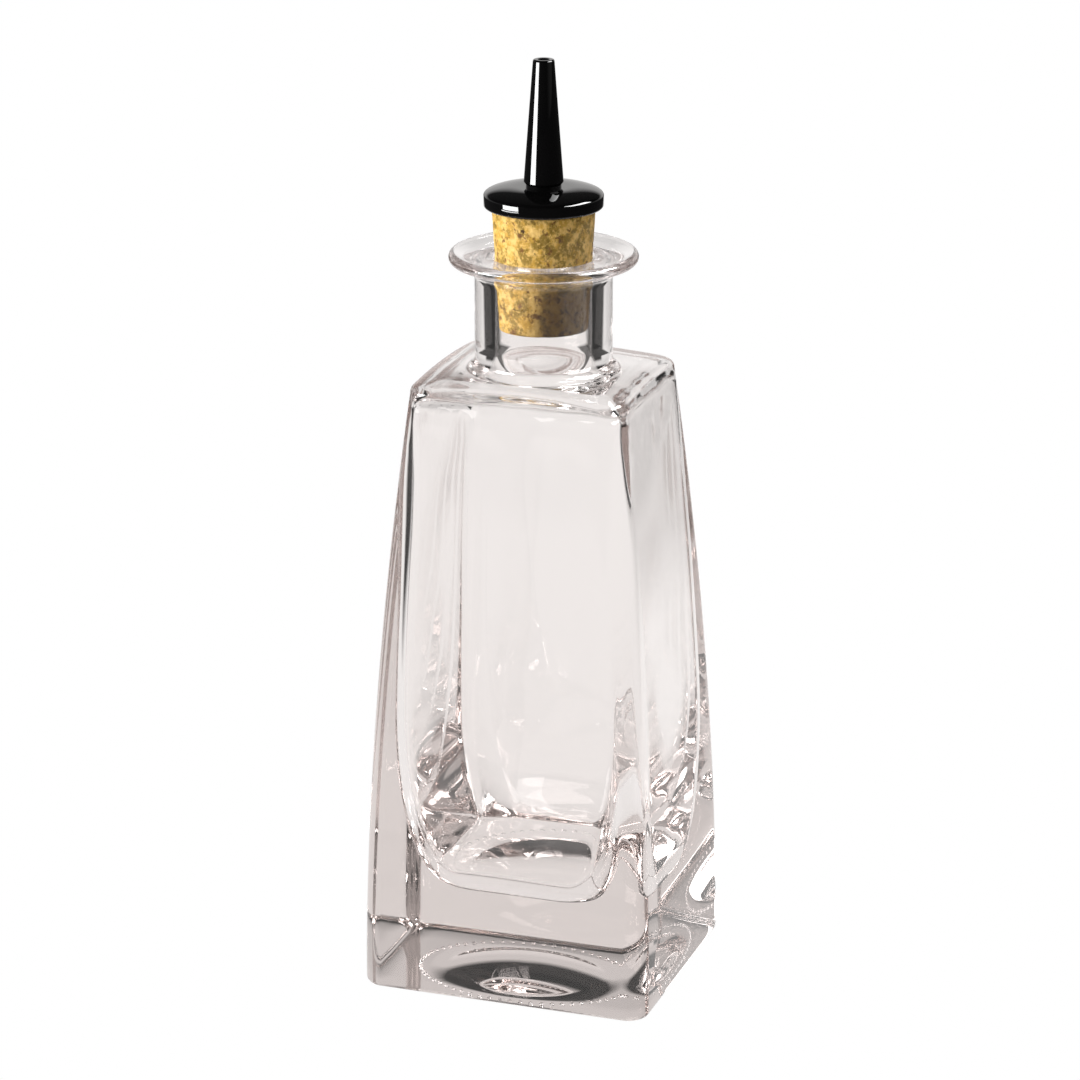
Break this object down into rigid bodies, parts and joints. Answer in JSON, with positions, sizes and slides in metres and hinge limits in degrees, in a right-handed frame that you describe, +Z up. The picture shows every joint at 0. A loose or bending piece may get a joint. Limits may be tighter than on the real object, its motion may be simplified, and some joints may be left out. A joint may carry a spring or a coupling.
{
  "type": "bitters bottle",
  "caption": "Tapered clear glass bottle with a heavy base and flared lip, closed by a cork that carries a black dasher nozzle.",
  "frame": {"origin": "middle of the base, on the surface that the bottle stands on", "axes": "+Z up along the neck and the nozzle, +X to the right, -Y out of the wide front face"},
  "size_m": [0.057, 0.0512, 0.1778],
  "materials": {
    "clear_glass": "clear, polished",
    "cork": "natural cork, matte, brown specks",
    "black_plastic": "gloss black"
  },
  "bodies": {
    "bottle": {"glass_bottle": "clear_glass"},
    "stopper": {"cork_stopper": "cork"},
    "dasher": {"dasher_flange": "black_plastic", "dasher_spout": "black_plastic", "dash_restrictor": "black_plastic"}
  },
  "joints": [
    {"name": "stopper_lift", "type": "slide", "parent": "bottle", "child": "stopper", "axis": [0, 0, 1], "range_m": [0, 0.03]},
    {"name": "dasher_turn", "type": "hinge", "parent": "stopper", "child": "dasher", "pos_m": [0, 0, 0.15], "axis": [0, 0, 1], "continuous": true}
  ]
}
